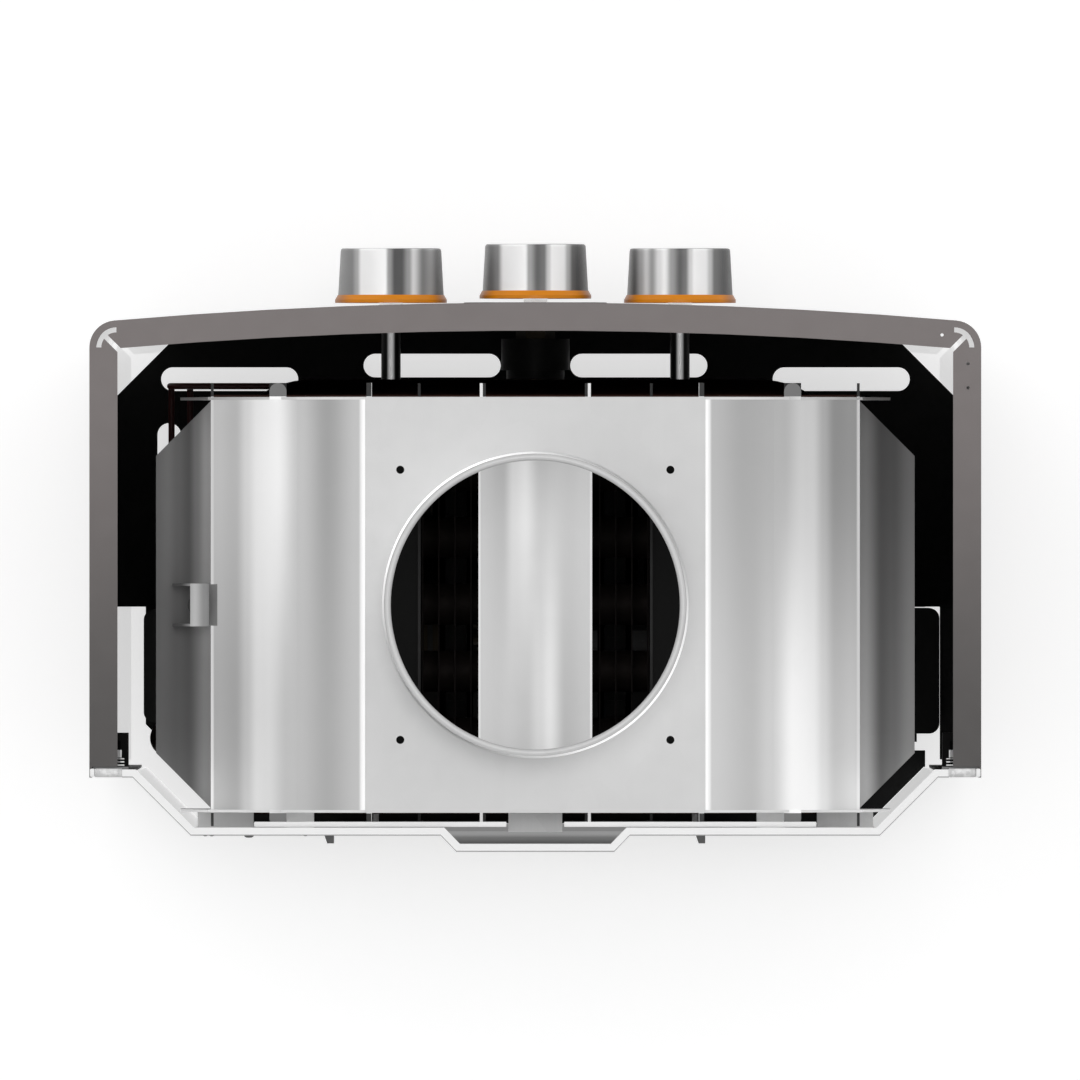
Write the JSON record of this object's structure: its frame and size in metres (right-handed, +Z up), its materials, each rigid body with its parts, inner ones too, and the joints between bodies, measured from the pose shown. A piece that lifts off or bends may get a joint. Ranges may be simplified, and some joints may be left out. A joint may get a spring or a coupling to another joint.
{
  "type": "gas water heater",
  "caption": "Wall hung instantaneous gas water heater with an open draught hood and round flue collar, a bowed front cover and front knobs.",
  "frame": {"origin": "in the wall plane, midway between the two hanging holes of the back panel", "axes": "+X to the right seen from the front, +Y into the wall, +Z up; the knobs face -Y"},
  "size_m": [0.33, 0.2281, 0.57],
  "materials": {
    "cover_paint": "satin titanium grey paint",
    "panel_white": "white coated sheet",
    "plate_black": "satin black coated sheet",
    "galvanised": "galvanised sheet",
    "black_plastic": "moulded",
    "window_glass": "clear",
    "copper": "plain copper",
    "brass": "plain brass",
    "burner_steel": "pressed steel",
    "ceramic": "glazed ceramic",
    "cast_aluminium": "die cast",
    "rubber": "moulded",
    "bright_steel": "bright",
    "knob_metal": "metal finished, brushed look",
    "amber_plastic": "amber coloured ring",
    "grey_plastic": "moulded",
    "battery": "dry cell"
  },
  "bodies": {
    "heater": {"front_cover": "cover_paint", "back_panel": "panel_white", "bottom_plate": "plate_black", "side_rails": "galvanised", "cover_clips": "black_plastic", "wall_spacers": "panel_white", "sight_window": "window_glass", "sight_bezel": "black_plastic", "hood_top_plate": "galvanised", "flue_collar": "galvanised", "hood_front_plate": "galvanised", "hood_rear_plate": "galvanised", "hood_side_right": "galvanised", "hood_side_left": "galvanised", "collector_right": "galvanised", "collector_left": "galvanised", "draft_baffle": "galvanised", "mounting_brackets": "galvanised", "spill_sensor_bracket": "galvanised", "spill_sensor": "black_plastic", "exchanger_shell": "copper", "fin_pack": "copper", "exchanger_tubes": "copper", "shell_coil": "copper", "overheat_thermostat": "black_plastic", "hot_pipe": "copper", "hot_outlet_fitting": "brass", "water_inlet_fitting": "brass", "gas_inlet_fitting": "brass", "burner_bars": "burner_steel", "burner_frame": "burner_steel", "gas_manifold": "burner_steel", "gas_nozzles": "brass", "electrodes": "ceramic", "gas_valve_body": "cast_aluminium", "gas_solenoid": "black_plastic", "season_valve_body": "cast_aluminium", "gland_nuts": "brass", "water_valve_body": "brass", "water_valve_cover": "brass", "diaphragm": "rubber", "valve_screws": "bright_steel", "microswitch": "black_plastic", "battery_box": "grey_plastic", "batteries": "battery", "igniter_box": "black_plastic", "ignition_leads": "rubber"},
    "gas_knob": {"gas_shaft": "bright_steel", "gas_knob_cap": "knob_metal", "gas_knob_ring": "amber_plastic"},
    "season_knob": {"season_shaft": "bright_steel", "season_knob_cap": "knob_metal", "season_knob_ring": "amber_plastic"},
    "water_knob": {"water_shaft": "bright_steel", "water_knob_cap": "knob_metal", "water_knob_ring": "amber_plastic"},
    "push_rod": {"push_rod": "bright_steel"},
    "switch_lever": {"microswitch_lever": "bright_steel"},
    "lid": {"battery_lid": "grey_plastic"},
    "drain": {"drain_plug": "brass"}
  },
  "joints": [
    {"name": "gas_knob_turn", "type": "hinge", "parent": "heater", "child": "gas_knob", "pos_m": [-0.055, -0.2, -0.405], "axis": [0, 1, 0], "range_deg": [0, 90]},
    {"name": "season_knob_turn", "type": "hinge", "parent": "heater", "child": "season_knob", "pos_m": [0, -0.2, -0.405], "axis": [0, 1, 0], "range_deg": [0, 90]},
    {"name": "water_knob_turn", "type": "hinge", "parent": "heater", "child": "water_knob", "pos_m": [0.055, -0.2, -0.405], "axis": [0, 1, 0], "range_deg": [0, 270]},
    {"name": "push_rod_slide", "type": "slide", "parent": "heater", "child": "push_rod", "axis": [-1, 0, 0], "range_m": [0, 0.003]},
    {"name": "switch_lever_turn", "type": "hinge", "parent": "heater", "child": "switch_lever", "pos_m": [0.0174, -0.096, -0.375], "axis": [0, 1, 0], "range_deg": [0, 7]},
    {"name": "battery_lid_hinge", "type": "hinge", "parent": "heater", "child": "lid", "pos_m": [-0.1175, -0.0398, -0.474], "axis": [1, 0, 0], "range_deg": [0, 100]},
    {"name": "drain_plug_turn", "type": "hinge", "parent": "heater", "child": "drain", "pos_m": [0.057, -0.096, -0.435], "axis": [0, 0, 1], "range_deg": [0, 360]}
  ],
  "couplings": [
    {"joint": "switch_lever_turn", "follows": "push_rod_slide", "rad_per_m": 38.462}
  ]
}
